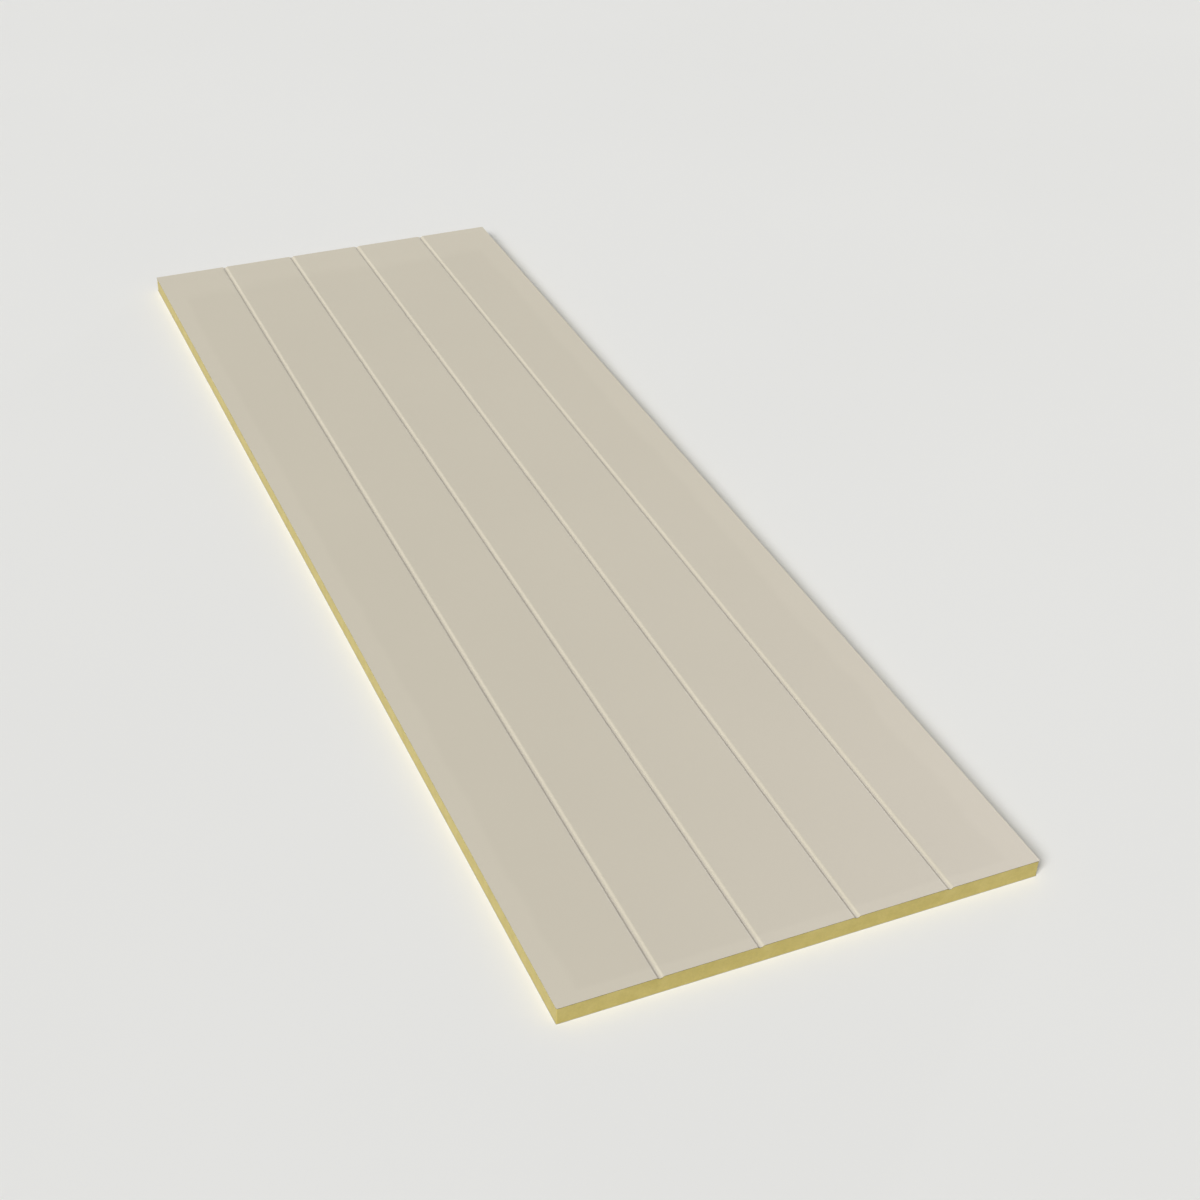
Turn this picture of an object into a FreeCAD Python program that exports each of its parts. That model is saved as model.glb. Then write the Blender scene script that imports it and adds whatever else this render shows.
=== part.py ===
import FreeCAD, Part
import enum
import os
import Sketcher
from FreeCAD import Vector

# Insulated wall panel, lying flat with its outer face up.
# A rigid foam core is bonded between a grooved outer sheet and a plain inner sheet.
# The origin is the centre of the inner face. +X runs across the panel, +Y along it,
# and +Z out through the outer face.

# Driving dimensions in millimetres, each with what it measures.
SIZES = [
    ("panel_width", 1000, "across the panel, over the sheets"),
    ("panel_length", 3000, "along the grooves, over the sheets"),
    ("panel_thickness", 40, "from the inner face to the outer face"),
    ("outer_sheet", 0.6, "steel of the grooved outer sheet"),
    ("inner_sheet", 0.5, "steel of the plain inner sheet"),
    ("corner_radius", 3, "rounding of the sheets' corners in plan"),
    ("core_setback", 1, "core edge behind the edges of the sheets"),
    ("groove_pitch", 200, "from the middle of one groove to the next"),
    ("groove_width", 17, "across a groove, between the flats beside it"),
    ("groove_depth", 3, "from the outer face down to the groove's lowest line"),
]

# Grooves stand a pitch apart about the panel's middle, and each edge strip is at least a pitch wide.
GROOVE_COUNT = "max(1; floor(sizes.panel_width / sizes.groove_pitch) - 1)"
FIRST_GROOVE = f"-({GROOVE_COUNT} - 1) / 2 * sizes.groove_pitch"

# A groove is two rounded shoulders and a rounded bottom.
# On the outer face these are three tangent arcs of one radius.
SHOULDER_X = "sizes.groove_width / 2"
BEND_RADIUS = f"(({SHOULDER_X})^2 + sizes.groove_depth^2) / (4 * sizes.groove_depth)"
BEND_LEVEL = f"sizes.panel_thickness - ({BEND_RADIUS})"
BOTTOM_LEVEL = f"sizes.panel_thickness - sizes.groove_depth + ({BEND_RADIUS})"

OUTER_SHEET_LEVEL = "sizes.panel_thickness - sizes.outer_sheet"
CORE_THICKNESS = "sizes.panel_thickness - sizes.outer_sheet - sizes.inner_sheet"
CORE_WIDTH = "sizes.panel_width - 2 * sizes.core_setback"
CORE_LENGTH = "sizes.panel_length - 2 * sizes.core_setback"
CORE_RADIUS = "sizes.corner_radius - sizes.core_setback"


class CurvePoint(enum.IntEnum):
    """The points of a curve, numbered from one as a sketch numbers them."""
    START = enum.auto()
    END = enum.auto()
    MIDDLE = enum.auto()


START, END, MIDDLE = CurvePoint

# A sketch's own origin is the start of its x axis, the curve numbered minus one.
ORIGIN = (-1, START)

doc = FreeCAD.newDocument("wall_panel")


def make_sheet():
    """Write the driving dimensions into the spreadsheet that everything else reads."""
    sheet = doc.addObject("Spreadsheet::Sheet", "sizes")
    for row, (alias, value, note) in enumerate(SIZES, start=1):
        sheet.set(f"A{row}", alias)
        sheet.set(f"B{row}", str(value))
        sheet.set(f"C{row}", note)
        sheet.setAlias(f"B{row}", alias)
    doc.recompute()
    return sheet


sizes = make_sheet()


def value_of(expression):
    """Give the present value of an expression, to place a sketch's curves before they are bound to it."""
    return float(sizes.evalExpression(expression))


def new_body(label):
    """Add an empty piece of the panel."""
    body = doc.addObject("PartDesign::Body", label)
    body.Label = label
    body.Placement = FreeCAD.Placement()
    return body


def origin_feature(body, role):
    """Find one of a body's own origin planes or axes."""
    return next(item for item in body.Origin.OriginFeatures if item.Role == role)


def new_sketch(body, name, plane, **offsets):
    """Add a sketch on an origin plane, moved along its own x, y or z by expressions."""
    sketch = body.newObject("Sketcher::SketchObject", name)
    sketch.AttachmentSupport = [(origin_feature(body, plane), "")]
    sketch.MapMode = "FlatFace"
    for axis, expression in offsets.items():
        sketch.setExpression(f"AttachmentOffset.Base.{axis}", expression)
    return sketch


def bind(sketch, name, expression, kind, *place):
    """Add a dimension whose value is an expression on the sizes."""
    index = sketch.addConstraint(Sketcher.Constraint(kind, *place, value_of(expression)))
    sketch.renameConstraint(index, name)
    sketch.setExpression(f"Constraints.{name}", expression)


def arc_between(centre, first, last):
    """Make the anticlockwise arc about a centre from one point to another."""
    circle = Part.Circle(centre, Vector(0, 0, 1), centre.distanceToPoint(first))
    return Part.ArcOfCircle(circle, circle.parameter(first), circle.parameter(last))


def draw_rounded_rectangle(sketch, width, length, radius):
    """Draw a rectangle with rounded corners about the sketch's origin."""
    half_x = value_of(width) / 2
    half_y = value_of(length) / 2
    bend = value_of(radius)
    corners = [(1, -1), (1, 1), (-1, 1), (-1, -1)]
    arcs = []
    for turn, (side_x, side_y) in enumerate(corners):
        centre = Vector(side_x * (half_x - bend), side_y * (half_y - bend), 0)
        out_x = centre + Vector(side_x * bend, 0, 0)
        out_y = centre + Vector(0, side_y * bend, 0)
        first, last = (out_y, out_x) if turn % 2 == 0 else (out_x, out_y)
        arcs.append(sketch.addGeometry(arc_between(centre, first, last)))
    lines = []
    for turn, arc in enumerate(arcs):
        following = arcs[(turn + 1) % len(arcs)]
        run = Part.LineSegment(sketch.getPoint(arc, END), sketch.getPoint(following, START))
        line = sketch.addGeometry(run)
        direction = "Vertical" if turn % 2 == 0 else "Horizontal"
        sketch.addConstraint(Sketcher.Constraint("Tangent", arc, END, line, START))
        sketch.addConstraint(Sketcher.Constraint("Tangent", line, END, following, START))
        sketch.addConstraint(Sketcher.Constraint(direction, line))
        lines.append(line)
    for arc in arcs[1:]:
        sketch.addConstraint(Sketcher.Constraint("Equal", arcs[0], arc))
    sketch.addConstraint(Sketcher.Constraint("Symmetric", arcs[0], MIDDLE, arcs[2], MIDDLE, *ORIGIN))
    bind(sketch, "corner_radius", radius, "Radius", arcs[0])
    bind(sketch, "width", width, "DistanceX", lines[2], END, lines[0], START)
    bind(sketch, "length", length, "DistanceY", lines[3], END, lines[1], START)


def draw_slit(sketch):
    """Draw the stretch of flat sheet that a groove takes the place of."""
    reach = value_of(SHOULDER_X)
    under = value_of(OUTER_SHEET_LEVEL)
    over = value_of("sizes.panel_thickness")
    places = [(-reach, under), (reach, under), (reach, over), (-reach, over)]
    corners = [Vector(x, level, 0) for x, level in places]
    sides = []
    for turn, corner in enumerate(corners):
        following = corners[(turn + 1) % len(corners)]
        sides.append(sketch.addGeometry(Part.LineSegment(corner, following)))
    for turn, side in enumerate(sides):
        following = sides[(turn + 1) % len(sides)]
        direction = "Horizontal" if turn % 2 == 0 else "Vertical"
        sketch.addConstraint(Sketcher.Constraint("Coincident", side, END, following, START))
        sketch.addConstraint(Sketcher.Constraint(direction, side))
    under_side, _, over_side, _ = sides
    bind(sketch, "left_reach", SHOULDER_X, "DistanceX", under_side, START, *ORIGIN)
    bind(sketch, "right_reach", SHOULDER_X, "DistanceX", *ORIGIN, under_side, END)
    bind(sketch, "under_level", OUTER_SHEET_LEVEL, "DistanceY", *ORIGIN, under_side, START)
    bind(sketch, "over_level", "sizes.panel_thickness", "DistanceY", *ORIGIN, over_side, START)


def draw_groove_curve(sketch, surface, sheet_gauge):
    """Draw a groove's left shoulder, bottom and right shoulder on one face of the outer sheet.

    The gauge is how far that face lies under the outer one, so the arcs of both faces share their centres.
    """
    shoulder_radius = f"({BEND_RADIUS}) - {sheet_gauge}"
    bottom_radius = f"({BEND_RADIUS}) + {sheet_gauge}"
    reach = value_of(SHOULDER_X)
    bottom_centre = Vector(0, value_of(BOTTOM_LEVEL), 0)
    shoulders = []
    joints = []
    for side in (-1, 1):
        centre = Vector(side * reach, value_of(BEND_LEVEL), 0)
        towards_bottom = Vector(bottom_centre - centre).normalize()
        joint = centre + towards_bottom * value_of(shoulder_radius)
        crest = centre + Vector(0, value_of(shoulder_radius), 0)
        first, last = (joint, crest) if side < 0 else (crest, joint)
        shoulders.append(sketch.addGeometry(arc_between(centre, first, last)))
        joints.append(joint)
    left, right = shoulders
    bottom = sketch.addGeometry(arc_between(bottom_centre, *joints))
    sketch.addConstraint(Sketcher.Constraint("Tangent", left, START, bottom, START))
    sketch.addConstraint(Sketcher.Constraint("Tangent", bottom, END, right, END))
    sketch.addConstraint(Sketcher.Constraint("Vertical", left, MIDDLE, left, END))
    sketch.addConstraint(Sketcher.Constraint("Vertical", right, MIDDLE, right, START))
    sketch.addConstraint(Sketcher.Constraint("Equal", left, right))
    bind(sketch, f"{surface}_shoulder_radius", shoulder_radius, "Radius", left)
    bind(sketch, f"{surface}_bottom_radius", bottom_radius, "Radius", bottom)
    bind(sketch, f"{surface}_left_reach", SHOULDER_X, "DistanceX", left, MIDDLE, *ORIGIN)
    bind(sketch, f"{surface}_right_reach", SHOULDER_X, "DistanceX", *ORIGIN, right, MIDDLE)
    bind(sketch, f"{surface}_left_level", BEND_LEVEL, "DistanceY", *ORIGIN, left, MIDDLE)
    bind(sketch, f"{surface}_right_level", BEND_LEVEL, "DistanceY", *ORIGIN, right, MIDDLE)
    return (left, END), (right, START)


def join(sketch, first, last):
    """Draw a straight line between the ends of two curves."""
    line = sketch.addGeometry(Part.LineSegment(sketch.getPoint(*first), sketch.getPoint(*last)))
    sketch.addConstraint(Sketcher.Constraint("Coincident", line, START, *first))
    sketch.addConstraint(Sketcher.Constraint("Coincident", line, END, *last))
    return line


def add_plate(body, level, thickness, width, length, radius):
    """Pad a flat plate with rounded corners, standing on a level above the inner face."""
    sketch = new_sketch(body, f"{body.Label}_outline", "XY_Plane", z=level)
    draw_rounded_rectangle(sketch, width, length, radius)
    pad = body.newObject("PartDesign::Pad", f"{body.Label}_plate")
    pad.Profile = sketch
    pad.setExpression("Length", thickness)
    doc.recompute()
    return pad


def add_lengthwise(body, kind, name, sketch):
    """Run a section along the whole panel, as a Pad that adds it or a Pocket that takes it away."""
    feature = body.newObject(f"PartDesign::{kind}", name)
    feature.Profile = sketch
    feature.SideType = "Symmetric"
    feature.setExpression("Length", "sizes.panel_length")
    base_volume = feature.BaseFeature.Shape.Volume
    doc.recompute()
    grows = feature.Shape.Volume > base_volume
    if grows != (kind == "Pad"):
        raise RuntimeError(f"{name} does not change its piece the right way")
    return feature


def repeat_grooves(body, features):
    """Repeat the first groove across the panel."""
    row = body.newObject("PartDesign::LinearPattern", f"{body.Label}_groove_row")
    row.Originals = features
    row.Direction = (origin_feature(body, "X_Axis"), [""])
    row.Mode = "Spacing"
    row.setExpression("Offset", "sizes.groove_pitch")
    row.setExpression("Occurrences", GROOVE_COUNT)
    body.Tip = row
    doc.recompute()


def make_outer_facing():
    """Make the outer sheet: a flat plate, slit where each groove runs, with a trough in every slit."""
    body = new_body("outer_facing")
    add_plate(body, OUTER_SHEET_LEVEL, "sizes.outer_sheet",
              "sizes.panel_width", "sizes.panel_length", "sizes.corner_radius")

    slit_section = new_sketch(body, "slit_section", "XZ_Plane", x=FIRST_GROOVE)
    draw_slit(slit_section)
    slit = add_lengthwise(body, "Pocket", "groove_slit", slit_section)

    trough_section = new_sketch(body, "trough_section", "XZ_Plane", x=FIRST_GROOVE)
    outer_left, outer_right = draw_groove_curve(trough_section, "outer", "0")
    under_left, under_right = draw_groove_curve(trough_section, "under", "sizes.outer_sheet")
    join(trough_section, outer_left, under_left)
    join(trough_section, outer_right, under_right)
    trough = add_lengthwise(body, "Pad", "groove_trough", trough_section)

    repeat_grooves(body, [slit, trough])
    return body


def make_foam_core():
    """Make the core: a slab between the sheets, hollowed where the outer sheet's troughs lie in it."""
    body = new_body("foam_core")
    add_plate(body, "sizes.inner_sheet", CORE_THICKNESS, CORE_WIDTH, CORE_LENGTH, CORE_RADIUS)

    section = new_sketch(body, "hollow_section", "XZ_Plane", x=FIRST_GROOVE)
    left, right = draw_groove_curve(section, "under", "sizes.outer_sheet")
    over_left = Vector(-value_of(SHOULDER_X), value_of("sizes.panel_thickness"), 0)
    over_right = Vector(value_of(SHOULDER_X), value_of("sizes.panel_thickness"), 0)
    over = section.addGeometry(Part.LineSegment(over_left, over_right))
    section.addConstraint(Sketcher.Constraint("Horizontal", over))
    bind(section, "over_level", "sizes.panel_thickness", "DistanceY", *ORIGIN, over, START)
    for arc_end, line_end in ((left, START), (right, END)):
        side = join(section, arc_end, (over, line_end))
        section.addConstraint(Sketcher.Constraint("Vertical", side))
    hollow = add_lengthwise(body, "Pocket", "groove_hollow", section)

    repeat_grooves(body, [hollow])
    return body


def make_inner_facing():
    """Make the plain inner sheet that the panel lies on."""
    body = new_body("inner_facing")
    add_plate(body, "0", "sizes.inner_sheet",
              "sizes.panel_width", "sizes.panel_length", "sizes.corner_radius")
    return body


def check_document(pieces):
    """Stop unless every object is computed, every sketch fully bound and every piece one sound solid."""
    for item in doc.Objects:
        if "Invalid" in item.State or "Error" in item.State:
            raise RuntimeError(f"{item.Label} failed: {item.State}")
        if item.isDerivedFrom("Sketcher::SketchObject") and not item.FullyConstrained:
            raise RuntimeError(f"{item.Label} is not fully constrained")
    for piece in pieces:
        shape = piece.Shape
        if shape.isNull() or not shape.isValid() or len(shape.Solids) != 1:
            raise RuntimeError(f"{piece.Label} is not one sound solid")


def main():
    """Build the three pieces, check them and write each to its own file."""
    pieces = [make_outer_facing(), make_foam_core(), make_inner_facing()]
    doc.recompute()
    check_document(pieces)
    os.makedirs("parts", exist_ok=True)
    for piece in pieces:
        piece.Shape.exportStep(f"parts/{piece.Label}.step")
        print(piece.Label, "volume", round(piece.Shape.Volume), "mm3", piece.Shape.BoundBox)


main()
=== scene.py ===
"""Insulated wall panel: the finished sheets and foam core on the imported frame, with studio and camera."""
import logging
import math
from collections.abc import Callable
from dataclasses import dataclass
from enum import Enum, IntEnum
from typing import Any

import bmesh
import bpy
from mathutils import Matrix, Vector


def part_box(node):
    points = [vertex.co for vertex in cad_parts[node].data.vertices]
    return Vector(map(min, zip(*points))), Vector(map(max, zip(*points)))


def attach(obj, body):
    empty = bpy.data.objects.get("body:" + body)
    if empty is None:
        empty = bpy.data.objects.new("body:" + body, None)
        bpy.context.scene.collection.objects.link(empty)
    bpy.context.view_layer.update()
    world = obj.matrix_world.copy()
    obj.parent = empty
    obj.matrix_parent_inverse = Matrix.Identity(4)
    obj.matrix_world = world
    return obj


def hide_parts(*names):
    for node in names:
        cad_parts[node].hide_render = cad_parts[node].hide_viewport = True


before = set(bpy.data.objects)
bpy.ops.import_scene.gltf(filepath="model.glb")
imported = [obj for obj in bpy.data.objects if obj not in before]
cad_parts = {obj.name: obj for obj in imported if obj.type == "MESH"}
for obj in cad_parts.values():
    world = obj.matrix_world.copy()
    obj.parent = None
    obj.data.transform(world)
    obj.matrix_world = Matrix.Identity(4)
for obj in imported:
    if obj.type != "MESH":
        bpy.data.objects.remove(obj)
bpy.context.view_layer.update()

LOG = logging.getLogger("wall_panel")
BODY = "root"
MM = 0.001
NEAR = 0.01 * MM
IMAGE_SIDE = 1200
SENSOR = 36.0
ROUND_PROFILE = 0.5
LEVEL_NORMAL = 0.5
UPRIGHT_NORMAL = 0.1
NOISE_LOW = 0.3
NOISE_HIGH = 0.7

Colour = tuple[float, float, float, float]
Place = tuple[float, float, float]
WHITE: Colour = (1.0, 1.0, 1.0, 1.0)


def srgb(red: int, green: int, blue: int) -> Colour:
    """Turn a colour as it looks on screen into the linear colour that shaders take.

    Args:
        red: red, from 0 to 255.
        green: green, from 0 to 255.
        blue: blue, from 0 to 255.

    Returns:
        The linear colour with full alpha.
    """
    shares = (level / 255 for level in (red, green, blue))
    linear = (share / 12.92 if share <= 0.04045 else ((share + 0.055) / 1.055) ** 2.4 for share in shares)
    return *linear, 1.0


def heading(azimuth: float, elevation: float) -> Vector:
    """Give the unit vector of a bearing, round from +Y towards +X and up from the level."""
    level = math.cos(elevation)
    return Vector((level * math.sin(azimuth), level * math.cos(azimuth), math.sin(elevation)))


class FinishSide(Enum):
    """The way that a sheet's finished face looks."""

    UP = "up"
    DOWN = "down"


class SheetSurface(IntEnum):
    """The surfaces of a sheet, in the order of its material slots."""

    FACE = 0
    BACK = 1
    EDGE = 2


class Workbench:
    """Selections and operators that every piece is modelled with."""

    @staticmethod
    def clear() -> None:
        """Leave nothing selected."""
        bpy.ops.object.select_all(action="DESELECT")

    @staticmethod
    def select_vertices(piece: bpy.types.Object, wanted: Callable[[Vector], bool]) -> None:
        """Select the vertices whose place is wanted.

        Args:
            piece: the object in edit mode.
            wanted: says whether a place is wanted.
        """
        bpy.ops.mesh.select_mode(type="VERT")
        bpy.ops.mesh.select_all(action="DESELECT")
        mesh = bmesh.from_edit_mesh(piece.data)
        for vertex in mesh.verts:
            vertex.select_set(wanted(vertex.co))
        mesh.select_flush_mode()
        bmesh.update_edit_mesh(piece.data)

    @staticmethod
    def select_edges(piece: bpy.types.Object, wanted: Callable[[Vector, Vector], bool]) -> None:
        """Select the edges whose two ends are wanted.

        Args:
            piece: the object in edit mode.
            wanted: says whether an edge between two places is wanted.
        """
        bpy.ops.mesh.select_mode(type="EDGE")
        bpy.ops.mesh.select_all(action="DESELECT")
        mesh = bmesh.from_edit_mesh(piece.data)
        for edge in mesh.edges:
            edge.select_set(wanted(edge.verts[0].co, edge.verts[1].co))
        mesh.select_flush_mode()
        bmesh.update_edit_mesh(piece.data)

    @staticmethod
    def select_faces(piece: bpy.types.Object, wanted: Callable[[Vector], bool]) -> None:
        """Select the faces whose normal is wanted.

        Args:
            piece: the object in edit mode.
            wanted: says whether a normal is wanted.
        """
        bpy.ops.mesh.select_mode(type="FACE")
        bpy.ops.mesh.select_all(action="DESELECT")
        mesh = bmesh.from_edit_mesh(piece.data)
        mesh.normal_update()
        for face in mesh.faces:
            face.select_set(wanted(face.normal))
        mesh.select_flush_mode()
        bmesh.update_edit_mesh(piece.data)

    @staticmethod
    def work_in(piece: bpy.types.Object, kind: str, **settings: Any) -> None:
        """Add a modifier to a piece in object mode and apply it.

        Args:
            piece: the active object.
            kind: the modifier's type.
            settings: the modifier's own options.
        """
        modifier = piece.modifiers.new(kind.title(), kind)
        for option, value in settings.items():
            setattr(modifier, option, value)
        bpy.ops.object.modifier_apply(modifier=modifier.name)


@dataclass(frozen=True)
class Outline:
    """The rounded rectangle that a sheet or the core fills in plan."""

    width: float
    length: float
    corner_radius: float
    corner_segments: int = 8

    def lay_plate(self, name: str, level: float) -> bpy.types.Object:
        """Lay a flat plate of this outline, and leave it in edit mode.

        Args:
            name: the piece's name.
            level: the plate's height.

        Returns:
            The plate's object.
        """
        Workbench.clear()
        bpy.ops.mesh.primitive_plane_add(size=1.0, location=(0.0, 0.0, level))
        plate = bpy.context.object
        plate.name = name
        plate.data.name = name
        bpy.ops.transform.resize(value=(self.width, self.length, 1.0))
        bpy.ops.object.transform_apply(location=True, rotation=True, scale=True)
        bpy.ops.object.mode_set(mode="EDIT")
        bpy.ops.mesh.select_all(action="SELECT")
        bpy.ops.mesh.bevel(offset=self.corner_radius, offset_type="OFFSET", affect="VERTICES",
                           segments=self.corner_segments, profile=ROUND_PROFILE)
        return plate


@dataclass(frozen=True)
class GrooveRow:
    """The pressed grooves: two rounded shoulders and a rounded bottom, all of one bend radius."""

    pitch: float
    width: float
    depth: float
    count: int
    arc_steps: int = 8
    guard: float = 1.0 * MM

    @property
    def bend_radius(self) -> float:
        """Radius of the three arcs on the outer face."""
        return ((self.width / 2) ** 2 + self.depth ** 2) / (4 * self.depth)

    @property
    def turn(self) -> float:
        """Angle that each shoulder turns through."""
        return math.asin(self.width / 4 / self.bend_radius)

    def section(self, under: float) -> list[tuple[float, float]]:
        """Give the places along one groove's section.

        Args:
            under: how far the pressed face lies under the outer face.

        Returns:
            Distances across from the groove's middle, each with its height from the flats.
        """
        shoulder, bottom = self.bend_radius - under, self.bend_radius + under
        half = []
        for step in range(self.arc_steps + 1):
            angle = self.turn * step / self.arc_steps
            half.append((-self.width / 2 + shoulder * math.sin(angle), shoulder * (math.cos(angle) - 1)))
        for step in range(self.arc_steps - 1, -1, -1):
            angle = self.turn * step / self.arc_steps
            half.append((-bottom * math.sin(angle), bottom * (1 - math.cos(angle)) - self.depth))
        return half + [(-across, sunk) for across, sunk in reversed(half[:-1])]

    def middles(self) -> list[float]:
        """Places of the grooves' middles across the panel."""
        return [(number - (self.count - 1) / 2) * self.pitch for number in range(self.count)]

    def press(self, plate: bpy.types.Object, under: float) -> None:
        """Press the grooves into a flat plate that is in edit mode.

        Args:
            plate: the plate.
            under: how far the plate lies under the outer face.
        """
        section = self.section(under)
        reach = self.width / 2 + self.guard
        for middle in self.middles():
            for across in (-reach, *(across for across, _ in section), reach):
                bpy.ops.mesh.select_all(action="SELECT")
                bpy.ops.mesh.bisect(plane_co=(middle + across, 0.0, 0.0), plane_no=(1.0, 0.0, 0.0))
        for across, sunk in section:
            lines = [middle + across for middle in self.middles()]
            Workbench.select_vertices(
                plate, lambda place: any(abs(place.x - line) < NEAR for line in lines))
            bpy.ops.transform.translate(value=(0.0, 0.0, sunk))


class NodeBoard:
    """A node tree that is being wired."""

    # The colour sockets of a Mix node go by number, because their names repeat.
    MIX_SHARE, MIX_FIRST, MIX_SECOND = 0, 6, 7
    MIX_RESULT = 2

    def __init__(self, tree: bpy.types.NodeTree) -> None:
        """Start on a tree without nodes."""
        self.tree = tree
        self.tree.nodes.clear()

    @classmethod
    def for_material(cls, name: str) -> tuple[bpy.types.Material, "NodeBoard"]:
        """Start a material.

        Args:
            name: the material's name.

        Returns:
            The material and its board.
        """
        material = bpy.data.materials.new(name)
        material.use_nodes = True
        return material, cls(material.node_tree)

    def add(self, kind: str, feeds: dict[str | int, Any] | None = None, **settings: Any) -> Any:
        """Add a node.

        Args:
            kind: the node's type.
            feeds: a plain value, or the socket to link, for each input by name or number.
            settings: the node's own options.

        Returns:
            The new node's outputs.
        """
        node = self.tree.nodes.new(kind)
        for option, value in settings.items():
            setattr(node, option, value)
        for name, value in (feeds or {}).items():
            if isinstance(value, bpy.types.NodeSocket):
                self.tree.links.new(value, node.inputs[name])
            else:
                node.inputs[name].default_value = value
        return node.outputs

    def effect(self, group: bpy.types.NodeTree, **feeds: Any) -> Any:
        """Place a shared effect, feed its inputs by name and give its outputs."""
        return self.add("ShaderNodeGroup", feeds, node_tree=group)

    def place(self) -> bpy.types.NodeSocket:
        """Give the object coordinates."""
        return self.add("ShaderNodeTexCoord")["Object"]

    def axes(self, vector: bpy.types.NodeSocket) -> Any:
        """Split coordinates into X, Y and Z."""
        return self.add("ShaderNodeSeparateXYZ", {"Vector": vector})

    def math(self, operation: str, *values: Any) -> bpy.types.NodeSocket:
        """Work out a number from up to three plain numbers or sockets."""
        return self.add("ShaderNodeMath", dict(enumerate(values)), operation=operation)[0]

    def noise(self, vector: bpy.types.NodeSocket, scale: Any, detail: float = 2.0) -> bpy.types.NodeSocket:
        """Give smooth noise between 0 and 1, with a scale in waves to the metre."""
        return self.add("ShaderNodeTexNoise", {"Vector": vector, "Scale": scale, "Detail": detail})["Fac"]

    def remap(self, value: Any, low: Any, high: Any, to_low: Any, to_high: Any,
              smooth: bool = False) -> bpy.types.NodeSocket:
        """Carry a value from one range to another, held at both ends.

        Args:
            value: the value.
            low: the value that becomes to_low.
            high: the value that becomes to_high.
            to_low: what low becomes.
            to_high: what high becomes.
            smooth: whether the change eases in and out.

        Returns:
            The carried value.
        """
        feeds = {"Value": value, "From Min": low, "From Max": high, "To Min": to_low, "To Max": to_high}
        return self.add("ShaderNodeMapRange", feeds,
                        interpolation_type="SMOOTHSTEP" if smooth else "LINEAR")["Result"]

    def blend(self, share: Any, first: Any, second: Any) -> bpy.types.NodeSocket:
        """Mix two colours, the first alone at a share of 0 and the second alone at 1."""
        feeds = {self.MIX_SHARE: share, self.MIX_FIRST: first, self.MIX_SECOND: second}
        return self.add("ShaderNodeMix", feeds, data_type="RGBA")[self.MIX_RESULT]

    def shade(self, colour: Any, factor: Any) -> bpy.types.NodeSocket:
        """Make a colour lighter or darker by a factor."""
        return self.add("ShaderNodeVectorMath", {0: colour, "Scale": factor}, operation="SCALE")["Vector"]

    def bump(self, height: Any, strength: float, distance: float) -> bpy.types.NodeSocket:
        """Turn a height into a normal, where a height of 1 stands out by the distance."""
        feeds = {"Height": height, "Strength": strength, "Distance": distance}
        return self.add("ShaderNodeBump", feeds)["Normal"]

    def close(self, **feeds: Any) -> None:
        """End a material in a principled surface.

        Args:
            feeds: the surface's inputs, with underscores for spaces.
        """
        named = {name.replace("_", " "): value for name, value in feeds.items()}
        shader = self.add("ShaderNodeBsdfPrincipled", named)["BSDF"]
        self.add("ShaderNodeOutputMaterial", {"Surface": shader})


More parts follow.
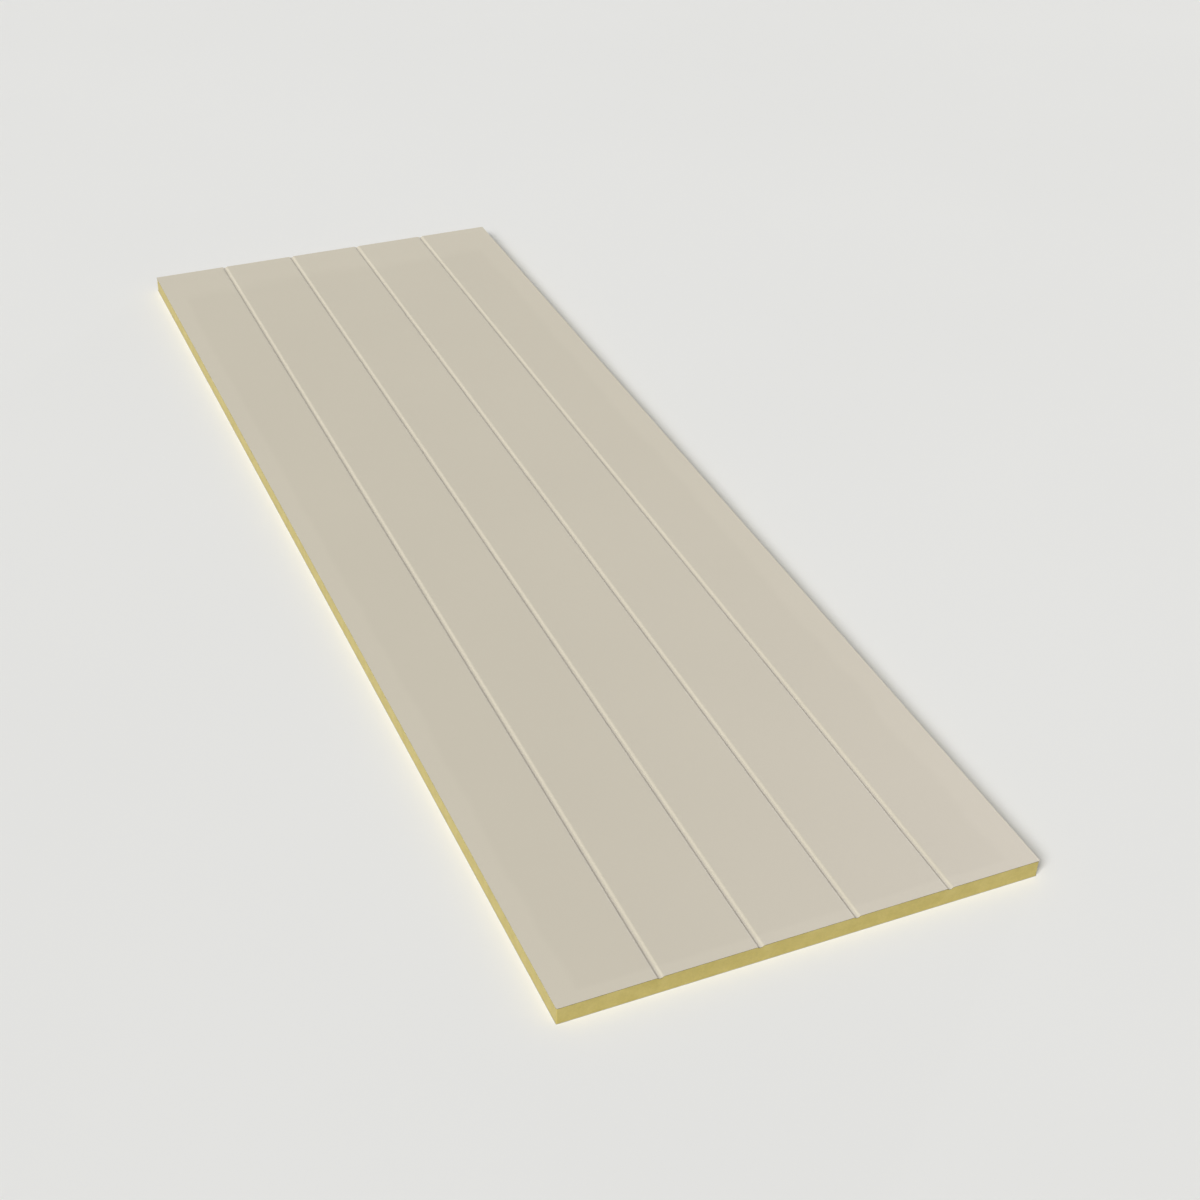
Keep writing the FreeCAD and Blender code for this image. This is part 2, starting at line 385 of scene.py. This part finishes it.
class SharedEffects:
    """Node groups that more than one finish uses, each built once."""

    DRIFT_LOW, DRIFT_HIGH = 0.25, 0.75
    GRAIN_LOW, GRAIN_HIGH = 0.4, 1.0
    FINER_TIMES = 5.3
    FINER_SHARE = 0.4
    _built: dict[str, bpy.types.NodeTree] = {}

    @classmethod
    def _group(cls, name: str, takes: dict[str, str], gives: dict[str, str],
               wire: Callable[[NodeBoard, Any], dict[str, bpy.types.NodeSocket]]) -> bpy.types.NodeTree:
        """Build a group, or give it back if it is built already.

        Args:
            name: the group's name.
            takes: input names with the kind of each.
            gives: output names with the kind of each.
            wire: adds the nodes and returns a socket for each output.

        Returns:
            The group's tree.
        """
        if name not in cls._built:
            tree = bpy.data.node_groups.new(name, "ShaderNodeTree")
            board = NodeBoard(tree)
            for label, kind in takes.items():
                tree.interface.new_socket(label, in_out="INPUT", socket_type=f"NodeSocket{kind}")
            for label, kind in gives.items():
                tree.interface.new_socket(label, in_out="OUTPUT", socket_type=f"NodeSocket{kind}")
            board.add("NodeGroupOutput", wire(board, board.add("NodeGroupInput")))
            cls._built[name] = tree
        return cls._built[name]

    @classmethod
    def tone_drift(cls) -> bpy.types.NodeTree:
        """Let a colour drift a little lighter and darker over the surface.

        Returns:
            The group's tree.
        """
        def wire(board: NodeBoard, takes: Any) -> dict[str, bpy.types.NodeSocket]:
            """Scale the colour by noise about 1.

            Args:
                board: the group's board.
                takes: the group's inputs.

            Returns:
                The colour.
            """
            noise = board.noise(takes["Vector"], takes["Scale"], detail=3.0)
            swing = board.remap(noise, low=cls.DRIFT_LOW, high=cls.DRIFT_HIGH, to_low=-1.0, to_high=1.0)
            factor = board.math("MULTIPLY_ADD", swing, takes["Amount"], 1.0)
            return {"Colour": board.shade(takes["Colour"], factor)}

        return cls._group("tone_drift",
                          {"Vector": "Vector", "Colour": "Color", "Scale": "Float", "Amount": "Float"},
                          {"Colour": "Color"}, wire)

    @classmethod
    def fine_grain(cls) -> bpy.types.NodeTree:
        """Give a fine height and a roughness that goes with it.

        Returns:
            The group's tree.
        """
        def wire(board: NodeBoard, takes: Any) -> dict[str, bpy.types.NodeSocket]:
            """Lay a finer noise over a coarser one.

            Args:
                board: the group's board.
                takes: the group's inputs.

            Returns:
                The height and the roughness.
            """
            coarse = board.noise(takes["Vector"], takes["Scale"], detail=1.0)
            finer_scale = board.math("MULTIPLY", takes["Scale"], cls.FINER_TIMES)
            fine = board.noise(takes["Vector"], finer_scale, detail=2.0)
            height = board.math("MULTIPLY_ADD", fine, cls.FINER_SHARE, coarse)
            roughness = board.remap(height, low=cls.GRAIN_LOW, high=cls.GRAIN_HIGH,
                                    to_low=takes["Smooth"], to_high=takes["Rough"])
            return {"Height": height, "Roughness": roughness}

        return cls._group("fine_grain",
                          {"Vector": "Vector", "Scale": "Float", "Smooth": "Float", "Rough": "Float"},
                          {"Height": "Float", "Roughness": "Float"}, wire)


@dataclass(frozen=True)
class PaintedEdgeLight:
    """Painted light: the slightly lighter margin along a sheet's outline, soft and a little uneven."""

    colour: Colour
    outline: Outline
    left_reach: float = 47 * MM
    right_reach: float = 62 * MM
    near_reach: float = 28 * MM
    far_reach: float = 150 * MM
    corner_ease: float = 0.3
    fade_start: float = 0.75
    fade_end: float = 1.2
    wander_scale: float = 7.0
    wander: float = 0.12

    def over(self, board: NodeBoard, place: bpy.types.NodeSocket, paint: Colour) -> bpy.types.NodeSocket:
        """Lighten a paint within the margin, as painted light.

        Args:
            board: the paint's board.
            place: object coordinates.
            paint: the paint's colour away from the margin.

        Returns:
            The paint's colour all over the sheet.
        """
        axes = board.axes(place)
        half_width, half_length = self.outline.width / 2, self.outline.length / 2
        left = board.math("DIVIDE", board.math("ADD", half_width, axes["X"]), self.left_reach)
        right = board.math("DIVIDE", board.math("SUBTRACT", half_width, axes["X"]), self.right_reach)
        near = board.math("DIVIDE", board.math("ADD", half_length, axes["Y"]), self.near_reach)
        far = board.math("DIVIDE", board.math("SUBTRACT", half_length, axes["Y"]), self.far_reach)
        across = board.math("SMOOTH_MIN", left, right, self.corner_ease)
        along = board.math("SMOOTH_MIN", near, far, self.corner_ease)
        inside = board.math("SMOOTH_MIN", across, along, self.corner_ease)
        swing = board.remap(board.noise(place, self.wander_scale), low=NOISE_LOW, high=NOISE_HIGH,
                            to_low=-self.wander, to_high=self.wander)
        edge_light_mask = board.remap(board.math("ADD", inside, swing), low=self.fade_start, high=self.fade_end,
                           to_low=1.0, to_high=0.0, smooth=True)
        return board.blend(edge_light_mask, paint, self.colour)


@dataclass(frozen=True)
class CoatFinish:
    """Coil-coated sheet steel: even satin paint with fine orange-peel, and a margin of painted light where
    it has one.
    """

    name: str
    colour: Colour
    # margin: a lighter band of painted light along the outline
    margin: PaintedEdgeLight | None = None
    drift_scale: float = 2.2
    drift: float = 0.012
    peel_scale: float = 260.0
    peel_strength: float = 0.12
    peel_height: float = 0.2 * MM
    smooth: float = 0.46
    rough: float = 0.56
    gloss: float = 0.4

    def material(self) -> bpy.types.Material:
        """Build the paint.

        Returns:
            The material.
        """
        material, board = NodeBoard.for_material(self.name)
        place = board.place()
        # painted light: the paint turns lighter in the margin along the outline
        colour = self.margin.over(board, place, self.colour) if self.margin else self.colour
        drifting = board.effect(SharedEffects.tone_drift(), Vector=place, Colour=colour,
                                Scale=self.drift_scale, Amount=self.drift)
        peel = board.effect(SharedEffects.fine_grain(), Vector=place, Scale=self.peel_scale,
                            Smooth=self.smooth, Rough=self.rough)
        board.close(Base_Color=drifting["Colour"], Roughness=peel["Roughness"],
                    Normal=board.bump(peel["Height"], self.peel_strength, self.peel_height),
                    Specular_IOR_Level=self.gloss)
        return material


@dataclass(frozen=True)
class CutEdgeFinish:
    """The edge of a coated sheet: sheared metal, or the coat drawn over it."""

    name: str
    colour: Colour
    drift_scale: float = 90.0
    drift: float = 0.2
    grain_scale: float = 900.0
    smooth: float = 0.4
    rough: float = 0.6
    metal: float = 0.6

    def material(self) -> bpy.types.Material:
        """Build the edge.

        Returns:
            The material.
        """
        material, board = NodeBoard.for_material(self.name)
        place = board.place()
        drifting = board.effect(SharedEffects.tone_drift(), Vector=place, Colour=self.colour,
                                Scale=self.drift_scale, Amount=self.drift)
        grain = board.effect(SharedEffects.fine_grain(), Vector=place, Scale=self.grain_scale,
                             Smooth=self.smooth, Rough=self.rough)
        board.close(Base_Color=drifting["Colour"], Roughness=grain["Roughness"], Metallic=self.metal)
        return material


@dataclass(frozen=True)
class FoamFinish:
    """Sawn rigid foam: mottled yellow with fine closed cells, painted shade in their pits, and a darker
    bond line with painted shade under the sheet.
    """

    name: str
    pale: Colour
    deep: Colour
    top: float
    grooves: GrooveRow
    patch_scale: float = 45.0
    mottle_scale: float = 190.0
    mottle: float = 0.05
    cell_scale: float = 800.0
    # painted shade: how dark the colour turns in the pits of the cells
    pit_shade_tone: float = 0.82
    cell_height: float = 0.8
    pore_start: float = 0.05
    pore_end: float = 0.35
    pit_end: float = 0.45
    # depth and darkest tone of the darker bond line with painted shade under the sheet
    bond_shade_depth: float = 2.4 * MM
    bond_shade_tone: float = 0.12
    grain_scale: float = 420.0
    grain_strength: float = 0.35
    grain_height: float = 0.25 * MM
    smooth: float = 0.6
    rough: float = 0.75
    gloss: float = 0.5
    dust: float = 0.13

    def material(self) -> bpy.types.Material:
        """Build the foam.

        Returns:
            The material.
        """
        material, board = NodeBoard.for_material(self.name)
        place = board.place()
        patches = board.remap(board.noise(place, self.patch_scale, detail=4.0),
                              low=NOISE_LOW, high=NOISE_HIGH, to_low=0.0, to_high=1.0)
        mottled = board.effect(SharedEffects.tone_drift(), Vector=place,
                               Colour=board.blend(patches, self.pale, self.deep),
                               Scale=self.mottle_scale, Amount=self.mottle)["Colour"]
        cells = board.add("ShaderNodeTexVoronoi", {"Vector": place, "Scale": self.cell_scale})["Distance"]
        # painted shade: the colour darkens in the pits of the cells, where the bump sinks
        pit_shade = board.remap(cells, low=self.pore_start, high=self.pore_end,
                            to_low=self.pit_shade_tone, to_high=1.0, smooth=True)
        # painted shade: darker close under the sheet, together with the darker bond line
        tone = board.math("MULTIPLY", pit_shade, self._bond_and_painted_shade(board, place))
        grain = board.effect(SharedEffects.fine_grain(), Vector=place, Scale=self.grain_scale,
                             Smooth=self.smooth, Rough=self.rough)
        pits = board.remap(cells, low=0.0, high=self.pit_end, to_low=0.0, to_high=self.cell_height)
        height = board.math("ADD", grain["Height"], pits)
        board.close(Base_Color=board.shade(mottled, tone), Roughness=grain["Roughness"],
                    Normal=board.bump(height, self.grain_strength, self.grain_height),
                    Specular_IOR_Level=self.gloss, Sheen_Weight=self.dust)
        return material

    def _bond_and_painted_shade(self, board: NodeBoard, place: bpy.types.NodeSocket) -> bpy.types.NodeSocket:
        """Darken the foam close under the sheet, also where the sheet dips into a groove: a darker bond
        line and painted shade under the sheet.

        Args:
            board: the foam's board.
            place: object coordinates.

        Returns:
            The tone, 1 away from the sheet.
        """
        axes = board.axes(place)
        outermost, half_pitch = self.grooves.middles()[-1], self.grooves.pitch / 2
        across = board.math("MINIMUM", board.math("ABSOLUTE", axes["X"]), outermost + self.grooves.width)
        from_outermost = board.math("SUBTRACT", across, outermost)
        from_middle = board.math("WRAP", from_outermost, half_pitch, -half_pitch)
        dip = board.remap(board.math("ABSOLUTE", from_middle), low=0.0, high=self.grooves.width / 2,
                          to_low=self.grooves.depth, to_high=0.0, smooth=True)
        level = board.math("ADD", axes["Z"], dip)
        # painted shade: the foam darkens towards the sheet's underside, with the bond line
        return board.remap(level, low=self.top - self.bond_shade_depth, high=self.top,
                           to_low=1.0, to_high=self.bond_shade_tone)


@dataclass(frozen=True)
class FloorFinish:
    """Plain pale floor, clear from below and where the panel covers it, so that the underside shows."""

    name: str
    colour: Colour
    panel: Outline
    overlap: float = 3 * MM
    drift_scale: float = 0.6
    drift: float = 0.01

    def material(self) -> bpy.types.Material:
        """Build the floor's finish.

        Returns:
            The material.
        """
        material, board = NodeBoard.for_material(self.name)
        place = board.place()
        drifting = board.effect(SharedEffects.tone_drift(), Vector=place, Colour=self.colour,
                                Scale=self.drift_scale, Amount=self.drift)
        matte = board.add("ShaderNodeBsdfDiffuse", {"Color": drifting["Colour"]})["BSDF"]
        clear = board.add("ShaderNodeBsdfTransparent")["BSDF"]
        axes = board.axes(place)
        within = [board.math("LESS_THAN", board.math("ABSOLUTE", axes[axis]), side / 2 - self.overlap)
                  for axis, side in (("X", self.panel.width), ("Y", self.panel.length))]
        below = board.add("ShaderNodeNewGeometry")["Backfacing"]
        unseen = board.math("MAXIMUM", board.math("MULTIPLY", *within), below)
        surface = board.add("ShaderNodeMixShader", {0: unseen, 1: matte, 2: clear})["Shader"]
        board.add("ShaderNodeOutputMaterial", {"Surface": surface})
        return material


@dataclass
class PanelSheet:
    """A steel facing sheet, flat or grooved, with its finished face outward."""

    node: str
    slot: str
    outline: Outline
    side: FinishSide
    level: float
    gauge: float
    grooves: GrooveRow | None = None
    burr_round: float = 0.12 * MM
    burr_segments: int = 2
    burr_angle: float = math.radians(60)
    smooth_angle: float = math.radians(15)
    piece: bpy.types.Object | None = None

    def build(self) -> bpy.types.Object:
        """Model the sheet from a plate at its finished face.

        Returns:
            The sheet.
        """
        sheet = self.outline.lay_plate(f"{self.node}_finished", self.level)
        if self.grooves:
            self.grooves.press(sheet, under=0.0)
        if self.side is FinishSide.DOWN:
            bpy.ops.mesh.select_all(action="SELECT")
            bpy.ops.mesh.flip_normals()
        bpy.ops.object.mode_set(mode="OBJECT")
        for _ in SheetSurface:
            sheet.data.materials.append(None)
        Workbench.work_in(sheet, "SOLIDIFY", thickness=self.gauge, offset=-1.0, use_even_offset=True,
                          material_offset=SheetSurface.BACK, material_offset_rim=SheetSurface.EDGE)
        Workbench.work_in(sheet, "BEVEL", width=self.burr_round, segments=self.burr_segments,
                          limit_method="ANGLE", angle_limit=self.burr_angle)
        bpy.ops.object.shade_smooth_by_angle(angle=self.smooth_angle)
        self.piece = sheet
        return sheet

    def dress(self, face: bpy.types.Material, back: bpy.types.Material, edge: bpy.types.Material) -> None:
        """Give the sheet its paint, its back coat and its edges.

        Args:
            face: finish of the outward face.
            back: finish of the bonded face.
            edge: finish of the edges.
        """
        for surface, finish in zip(SheetSurface, (face, back, edge)):
            self.piece.data.materials[surface] = finish
        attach(self.piece, BODY)
        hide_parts(self.node)


@dataclass
class FoamCore:
    """The rigid foam slab: hollowed under the grooves, with sawn walls."""

    node: str
    slot: str
    outline: Outline
    top: float
    bottom: float
    grooves: GrooveRow
    sheet_gauge: float
    cell: float = 2.5 * MM
    long_run: float = 1.0
    rim_inset: float = 1.2 * MM
    saw_depth: float = 0.35 * MM
    saw_scale: float = 7.0 * MM
    saw_layers: int = 2
    smooth_angle: float = math.radians(40)
    piece: bpy.types.Object | None = None

    def build(self) -> bpy.types.Object:
        """Model the slab from its upper face down.

        Returns:
            The slab.
        """
        core = self.outline.lay_plate(f"{self.node}_finished", self.top)
        self.grooves.press(core, under=self.sheet_gauge)
        bpy.ops.mesh.select_all(action="SELECT")
        drop = (0.0, 0.0, self.bottom - self.top)
        bpy.ops.mesh.extrude_region_move(TRANSFORM_OT_translate={"value": drop})
        bpy.ops.transform.resize(value=(1.0, 1.0, 0.0), center_override=(0.0, 0.0, self.bottom))
        bpy.ops.mesh.select_all(action="SELECT")
        bpy.ops.mesh.normals_make_consistent(inside=False)
        self._divide_walls(core)
        self._mark_sawn(core)
        bpy.ops.object.mode_set(mode="OBJECT")
        saw = bpy.data.textures.new("saw_marks", "CLOUDS")
        saw.noise_scale = self.saw_scale
        saw.noise_depth = self.saw_layers
        Workbench.work_in(core, "DISPLACE", texture=saw, texture_coords="LOCAL", strength=self.saw_depth,
                          mid_level=1.0, vertex_group=core.vertex_groups[0].name)
        bpy.ops.object.shade_smooth_by_angle(angle=self.smooth_angle)
        self.piece = core
        return core

    def _divide_walls(self, core: bpy.types.Object) -> None:
        """Divide the four walls into small cells.

        Args:
            core: the slab in edit mode.
        """
        for sign in (1, -1):
            Workbench.select_faces(core, lambda normal: normal.z * sign > LEVEL_NORMAL)
            bpy.ops.mesh.inset(thickness=self.rim_inset)
        height = self.top - self.bottom
        rows = round(height / self.cell)
        for row in range(1, rows):
            Workbench.select_faces(core, lambda normal: abs(normal.z) < UPRIGHT_NORMAL)
            level = self.bottom + height * row / rows
            bpy.ops.mesh.bisect(plane_co=(0.0, 0.0, level), plane_no=(0.0, 0.0, 1.0))
        first_cut = round(math.sqrt(self.outline.length / self.cell))
        self._divide_runs(core, self.long_run, first_cut)
        self._divide_runs(core, 2 * self.cell, round(self.outline.length / first_cut / self.cell))

    def _divide_runs(self, core: bpy.types.Object, longer: float, parts: int) -> None:
        """Divide the level edges of the walls that are longer than a limit.

        Args:
            core: the slab in edit mode.
            longer: the limit.
            parts: how many parts each edge gets.
        """
        half_width, half_length = self.outline.width / 2, self.outline.length / 2

        def wanted(first: Vector, second: Vector) -> bool:
            """Tell whether an edge lies level on a wall and is long enough.

            Args:
                first: place of one end.
                second: place of the other end.

            Returns:
                Whether it does.
            """
            on_side = min(abs(first.x), abs(second.x)) > half_width - NEAR
            on_end = min(abs(first.y), abs(second.y)) > half_length - NEAR
            level = abs(first.z - second.z) < NEAR
            return (on_side or on_end) and level and (first - second).length > longer

        Workbench.select_edges(core, wanted)
        bpy.ops.mesh.subdivide(number_cuts=parts - 1)

    def _mark_sawn(self, core: bpy.types.Object) -> None:
        """Put the walls, without their rims, in a vertex group.

        Args:
            core: the slab in edit mode.
        """
        inner_x = self.outline.width / 2 - self.outline.corner_radius
        inner_y = self.outline.length / 2 - self.outline.corner_radius

        def on_wall(place: Vector) -> bool:
            """Tell whether a place is on a wall or a rounded corner, under the rim.

            Args:
                place: the place.

            Returns:
                Whether it is.
            """
            beyond_x = max(abs(place.x) - inner_x, 0.0)
            beyond_y = max(abs(place.y) - inner_y, 0.0)
            outward = math.hypot(beyond_x, beyond_y) > self.outline.corner_radius - 2 * NEAR
            return outward and self.bottom + NEAR < place.z < self.top - self.cell / 2

        Workbench.select_vertices(core, on_wall)
        bpy.ops.object.vertex_group_assign_new()

    def dress(self, foam: bpy.types.Material) -> None:
        """Give the slab its finish.

        Args:
            foam: the foam's finish.
        """
        self.piece.data.materials.append(foam)
        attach(self.piece, BODY)
        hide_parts(self.node)


@dataclass(frozen=True)
class DistantLight:
    """A far lamp that lights the whole panel alike, or only adds gloss, with its angles in degrees."""

    name: str
    azimuth: float
    elevation: float
    spread: float
    strength: float
    colour: Colour = WHITE
    sheen_only: bool = False

    def hang(self) -> None:
        """Hang the lamp in the scene."""
        lamp = bpy.data.lights.new(self.name, "SUN")
        lamp.energy = self.strength
        lamp.color = self.colour[:3]
        lamp.angle = math.radians(self.spread)
        stand = bpy.data.objects.new(self.name, lamp)
        toward = heading(math.radians(self.azimuth), math.radians(self.elevation))
        stand.location = toward
        stand.rotation_euler = toward.to_track_quat("Z", "Y").to_euler()
        stand.visible_diffuse = not self.sheen_only
        bpy.context.scene.collection.objects.link(stand)


@dataclass(frozen=True)
class StudioCamera:
    """The camera, given by its place, its focal length and where it looks, with its angles in radians."""

    position: Place
    azimuth: float
    downward: float
    roll: float
    focal_pixels: float
    clip_start: float = 0.01
    clip_end: float = 200.0

    def set_up(self) -> None:
        """Put the camera up and make it the scene's own."""
        optics = bpy.data.cameras.new("camera")
        optics.sensor_width = SENSOR
        optics.lens = self.focal_pixels * SENSOR / IMAGE_SIDE
        optics.clip_start = self.clip_start
        optics.clip_end = self.clip_end
        stand = bpy.data.objects.new("camera", optics)
        ahead = heading(self.azimuth, -self.downward)
        right = ahead.cross(Vector((0.0, 0.0, 1.0))).normalized()
        rise = right.cross(ahead)
        turned_right = right * math.cos(self.roll) + rise * math.sin(self.roll)
        turned_rise = rise * math.cos(self.roll) - right * math.sin(self.roll)
        turn = Matrix((turned_right, turned_rise, -ahead)).transposed()
        stand.matrix_world = Matrix.Translation(self.position) @ turn.to_4x4()
        bpy.context.scene.collection.objects.link(stand)
        bpy.context.scene.camera = stand


@dataclass
class Studio:
    """The pale floor, the soft light and the camera."""

    camera: StudioCamera
    lights: tuple[DistantLight, ...]
    floor: FloorFinish
    sky_colour: Colour
    sky_strength: float
    backdrop_strength: float
    floor_side: float = 80.0
    floor_drop: float = 0.1 * MM

    def build(self) -> None:
        """Lay the floor, hang the lamps and put up the camera."""
        bpy.context.scene.view_settings.view_transform = "Standard"
        Workbench.clear()
        bpy.ops.mesh.primitive_plane_add(size=self.floor_side, location=(0.0, 0.0, -self.floor_drop))
        bpy.ops.object.transform_apply(location=True, rotation=True, scale=True)
        floor = bpy.context.object
        floor.name = "floor"
        floor.data.materials.append(self.floor.material())
        for light in self.lights:
            light.hang()
        self._hang_sky()
        self.camera.set_up()

    def _hang_sky(self) -> None:
        """Surround the scene with an even sky, pale where the camera or a reflection sees it."""
        world = bpy.data.worlds.new("sky")
        world.use_nodes = True
        bpy.context.scene.world = world
        board = NodeBoard(world.node_tree)
        path = board.add("ShaderNodeLightPath")
        mirrored = board.math("MAXIMUM", path["Is Glossy Ray"], path["Is Transmission Ray"])
        seen = board.math("MAXIMUM", path["Is Camera Ray"], mirrored)
        strength = board.remap(seen, low=0.0, high=1.0,
                               to_low=self.sky_strength, to_high=self.backdrop_strength)
        sky = board.add("ShaderNodeBackground", {"Color": self.sky_colour, "Strength": strength})
        board.add("ShaderNodeOutputWorld", {"Surface": sky["Background"]})


def main() -> None:
    """Build the panel's pieces and the studio round them."""
    outer_low, outer_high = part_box("outer_facing")
    core_low, core_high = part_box("foam_core")
    inner_low, inner_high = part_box("inner_facing")
    sheet_size, core_size = outer_high - outer_low, core_high - core_low
    sheet_outline = Outline(sheet_size.x, sheet_size.y, corner_radius=3 * MM)
    core_outline = Outline(core_size.x, core_size.y, corner_radius=2 * MM)
    outer_gauge = outer_high.z - core_high.z
    inner_gauge = inner_high.z - inner_low.z
    grooves = GrooveRow(pitch=200 * MM, width=17 * MM, depth=sheet_size.z - outer_gauge, count=4)

    # painted light: a lighter margin along the facing's outline
    facing_edge_light = PaintedEdgeLight(srgb(206, 199, 181), sheet_outline)
    facing_paint = CoatFinish("facing_paint", srgb(203, 196, 178), facing_edge_light).material()
    liner_paint = CoatFinish("liner_paint", srgb(215, 213, 206)).material()
    back_coat = CoatFinish("back_coat", srgb(169, 167, 159)).material()
    cut_edge = CutEdgeFinish("cut_edge", srgb(84, 80, 72)).material()
    coated_edge = CutEdgeFinish("coated_edge", srgb(214, 212, 204)).material()
    rigid_foam = FoamFinish("rigid_foam", pale=srgb(185, 169, 95), deep=srgb(175, 159, 82),
                            top=core_high.z, grooves=grooves).material()

    outer = PanelSheet("outer_facing", "facing_paint", sheet_outline, FinishSide.UP,
                       level=outer_high.z, gauge=outer_gauge, grooves=grooves)
    inner = PanelSheet("inner_facing", "liner_paint", sheet_outline, FinishSide.DOWN,
                       level=inner_low.z, gauge=inner_gauge)
    core = FoamCore("foam_core", "rigid_foam", core_outline, top=core_high.z, bottom=core_low.z,
                    grooves=grooves, sheet_gauge=outer_gauge)
    for part in (outer, core, inner):
        piece = part.build()
        LOG.info("%s: %d faces", piece.name, len(piece.data.polygons))
    outer.dress(facing_paint, back_coat, cut_edge)
    core.dress(rigid_foam)
    inner.dress(liner_paint, back_coat, coated_edge)

    studio = Studio(
        camera=StudioCamera(position=(-1.42196, -3.61503, 2.57729), azimuth=0.43273, downward=0.62397,
                            roll=0.03635, focal_pixels=1936.07),
        lights=(DistantLight("key", azimuth=232, elevation=40, spread=30, strength=3.5),
                DistantLight("rim", azimuth=50, elevation=0.8, spread=0.6, strength=1.6),
                DistantLight("under", azimuth=200, elevation=-60, spread=30, strength=2.4),
                DistantLight("sheen", azimuth=58, elevation=42, spread=10, strength=1.9,
                             colour=srgb(240, 230, 255), sheen_only=True)),
        floor=FloorFinish("floor", srgb(238, 238, 236), sheet_outline),
        sky_colour=srgb(255, 254, 252), sky_strength=0.18, backdrop_strength=0.8)
    studio.build()


if __name__ == "__main__":
    logging.basicConfig(level=logging.INFO, format="%(message)s")
    main()
